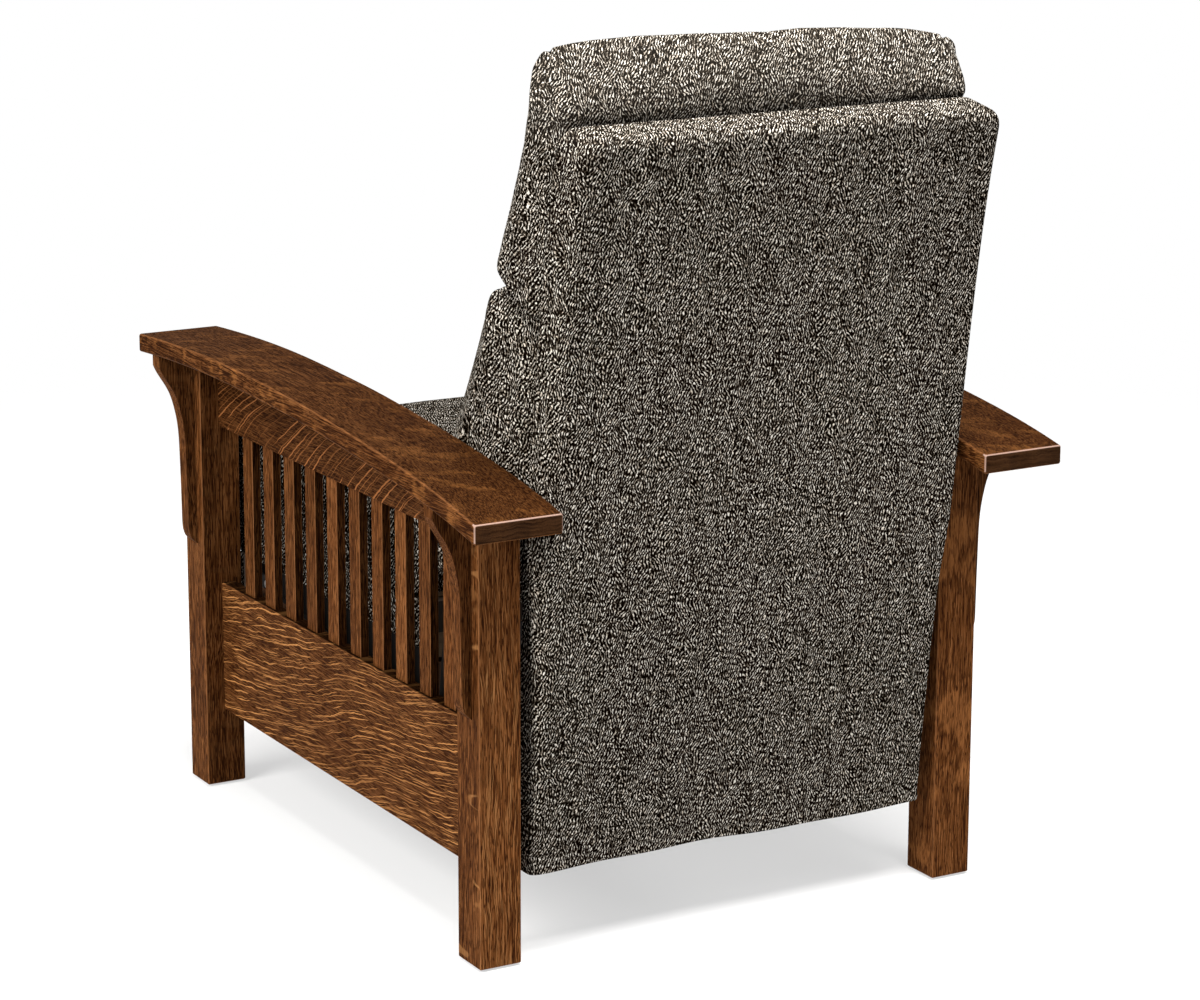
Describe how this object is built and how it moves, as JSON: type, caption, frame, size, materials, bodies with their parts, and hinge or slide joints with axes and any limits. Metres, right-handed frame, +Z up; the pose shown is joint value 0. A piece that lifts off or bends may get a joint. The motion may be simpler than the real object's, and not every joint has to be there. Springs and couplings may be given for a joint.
{
  "type": "recliner",
  "caption": "Mission style oak recliner with bowed arms, slatted sides, a reclining tweed back, a sliding seat and a folding footrest.",
  "frame": {"origin": "middle of the chair's bounding box, on the floor under the glides", "axes": "+Z up, the sitter faces -Y, the sitter's left is +X"},
  "size_m": [0.818, 0.993, 1.0975],
  "materials": {
    "oak_finish": "dark stained quarter-sawn oak, satin lacquer",
    "frame_wood": "plain sawn hardwood and plywood, unfinished",
    "tweed": "chunky brown, black and cream tweed upholstery",
    "steel_black": "black coated pressed steel",
    "zinc_steel": "zinc plated pins, bolts and screws",
    "spring_wire": "drawn spring wire",
    "nylon": "moulded nylon"
  },
  "bodies": {
    "frame": {"post_front_left": "oak_finish", "post_front_right": "oak_finish", "post_rear_left": "oak_finish", "post_rear_right": "oak_finish", "arm_left": "oak_finish", "arm_right": "oak_finish", "arm_dowels": "oak_finish", "corbel_front_left": "oak_finish", "corbel_front_right": "oak_finish", "corbel_rear_left": "oak_finish", "corbel_rear_right": "oak_finish", "floor_glides": "nylon", "lower_side_rail_left": "oak_finish", "lower_side_rail_right": "oak_finish", "upper_side_rail_left": "oak_finish", "upper_side_rail_right": "oak_finish", "slats_left": "oak_finish", "slats_right": "oak_finish", "front_stretcher": "frame_wood", "middle_stretcher": "frame_wood", "mounting_cleat_left": "frame_wood", "mounting_cleat_right": "frame_wood", "seat_track_left": "steel_black", "seat_track_right": "steel_black", "back_pivot_plate_left": "steel_black", "back_pivot_plate_right": "steel_black", "track_screws": "zinc_steel"},
    "back": {"outside_back_cover": "tweed", "back_flap": "tweed", "back_stile_left": "frame_wood", "back_stile_right": "frame_wood", "back_cross_rails": "frame_wood", "back_springs": "spring_wire", "back_bracket_left": "steel_black", "back_bracket_right": "steel_black", "back_pivot_bolts": "zinc_steel", "back_pivot_spacers": "zinc_steel", "lower_back_cushion": "tweed", "head_cushion": "tweed"},
    "seat": {"seat_side_plate_left": "steel_black", "seat_side_plate_right": "steel_black", "seat_link_pins": "zinc_steel", "seat_glide_shoes": "nylon", "seat_side_rail_left": "frame_wood", "seat_side_rail_right": "frame_wood", "seat_cross_rails": "frame_wood", "seat_springs": "spring_wire", "seat_cushion": "tweed"},
    "inner_links": {"footrest_inner_link_left": "steel_black", "footrest_inner_link_right": "steel_black", "middle_link_pins": "zinc_steel"},
    "outer_links": {"footrest_outer_link_left": "steel_black", "footrest_outer_link_right": "steel_black"},
    "control_links": {"footrest_control_link_left": "steel_black", "footrest_control_link_right": "steel_black"},
    "footrest": {"footrest_board": "frame_wood", "footrest_pad": "tweed", "footrest_bracket_left": "steel_black", "footrest_bracket_right": "steel_black", "footrest_bracket_pins": "zinc_steel"}
  },
  "joints": [
    {"name": "back_recline", "type": "hinge", "parent": "frame", "child": "back", "pos_m": [0, 0.1765, 0.385], "axis": [-1, 0, 0], "range_deg": [0, 30]},
    {"name": "seat_slide", "type": "slide", "parent": "frame", "child": "seat", "axis": [0, -0.9962, 0.0872], "range_m": [0, 0.1101]},
    {"name": "inner_link_swing", "type": "hinge", "parent": "seat", "child": "inner_links", "pos_m": [0, -0.3535, 0.27], "axis": [-1, 0, 0], "range_deg": [0, 85.05]},
    {"name": "outer_link_swing", "type": "hinge", "parent": "inner_links", "child": "outer_links", "pos_m": [0, -0.41156, 0.12629], "axis": [-1, 0, 0], "range_deg": [-170.1, 0]},
    {"name": "footrest_turn", "type": "hinge", "parent": "outer_links", "child": "footrest", "pos_m": [0, -0.40615, 0.28119], "axis": [-1, 0, 0], "range_deg": [0, 170.1]},
    {"name": "control_link_swing", "type": "hinge", "parent": "seat", "child": "control_links", "pos_m": [0, -0.31003, 0.24794], "axis": [-1, 0, 0], "range_deg": [0, 76.2]}
  ],
  "couplings": [
    {"joint": "seat_slide", "follows": "back_recline", "m_per_rad": 0.21008},
    {"joint": "inner_link_swing", "follows": "back_recline", "ratio": 2.8333},
    {"joint": "outer_link_swing", "follows": "back_recline", "ratio": -5.6667},
    {"joint": "footrest_turn", "follows": "back_recline", "ratio": 5.6667},
    {"joint": "control_link_swing", "follows": "back_recline", "ratio": 2.5383}
  ]
}
